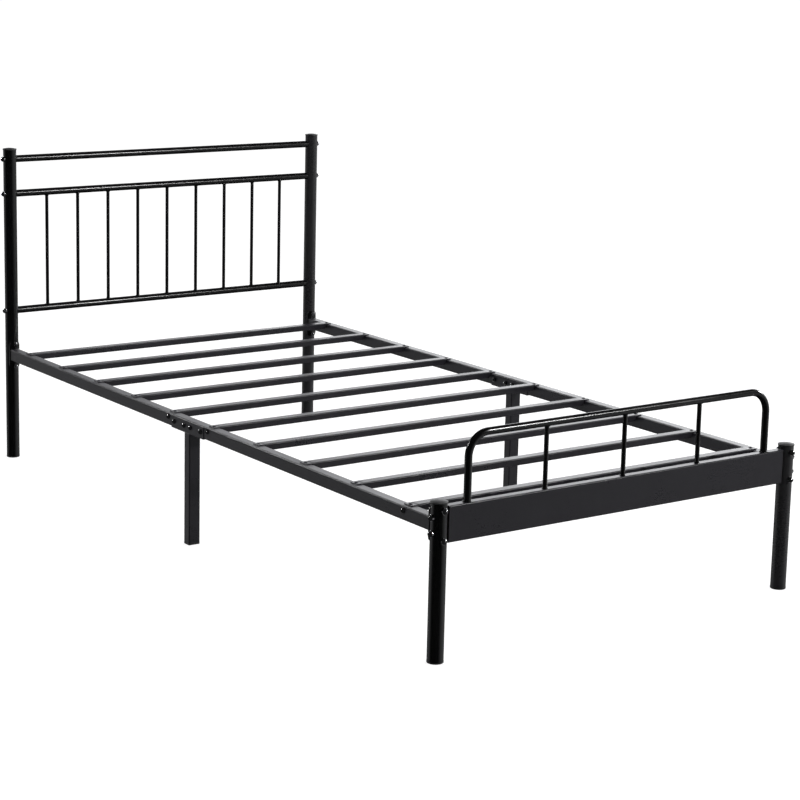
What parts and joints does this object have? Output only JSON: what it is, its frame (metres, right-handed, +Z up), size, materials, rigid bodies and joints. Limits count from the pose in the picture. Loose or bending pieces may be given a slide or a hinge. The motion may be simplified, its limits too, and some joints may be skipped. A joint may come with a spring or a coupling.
{
  "type": "metal bed frame",
  "caption": "Black tube-steel single bed frame: spindle headboard, low arched footboard over a flat panel, box-section side rails and cross slats, bolted knock-down joints",
  "frame": {"origin": "centre of the bed's footprint, on the floor", "axes": "+Y from the foot end to the head end, +X to the right as seen from the foot end, +Z up"},
  "size_m": [1.0164, 2.0164, 0.851],
  "materials": {
    "powder_coat": "satin black powder coat on steel, fine orange peel",
    "cap_plastic": "moulded black plastic caps and floor glides",
    "hardware": "black-plated bolts, pins and nuts, semi-gloss",
    "zinc_insert": "plain zinc-plated threaded inserts inside the tubes"
  },
  "bodies": {
    "root": {"head_post_left": "powder_coat", "head_post_right": "powder_coat", "foot_post_left": "powder_coat", "foot_post_right": "powder_coat", "head_cap_left": "cap_plastic", "head_cap_right": "cap_plastic", "foot_cap_left": "cap_plastic", "foot_cap_right": "cap_plastic", "head_glide_left": "cap_plastic", "head_glide_right": "cap_plastic", "foot_glide_left": "cap_plastic", "foot_glide_right": "cap_plastic", "headboard_top_rail": "powder_coat", "headboard_upper_rail": "powder_coat", "headboard_lower_rail": "powder_coat", "headboard_spindles": "powder_coat", "headboard_rail_inserts": "zinc_insert", "headboard_bolts": "hardware", "rail_left_head": "powder_coat", "rail_left_foot": "powder_coat", "rail_right_head": "powder_coat", "rail_right_foot": "powder_coat", "saddle_left_head": "powder_coat", "saddle_left_foot": "powder_coat", "saddle_right_head": "powder_coat", "saddle_right_foot": "powder_coat", "saddle_bolts": "hardware", "saddle_nuts": "hardware", "joint_channel_left": "powder_coat", "joint_channel_right": "powder_coat", "joint_bolts": "hardware", "joint_nuts": "hardware", "centre_leg_left": "powder_coat", "centre_leg_right": "powder_coat", "centre_glide_left": "cap_plastic", "centre_glide_right": "cap_plastic", "footboard_panel": "powder_coat", "footboard_end_plates": "zinc_insert", "footboard_bolts": "hardware", "footboard_arch": "powder_coat", "footboard_spindles": "powder_coat", "slat_1": "powder_coat", "slat_2": "powder_coat", "slat_3": "powder_coat", "slat_4": "powder_coat", "slat_5": "powder_coat", "slat_6": "powder_coat", "slat_7": "powder_coat", "slat_8": "powder_coat", "slat_9": "powder_coat", "slat_10": "powder_coat", "slat_pins": "hardware", "slat_side_bolts": "hardware"}
  },
  "joints": []
}
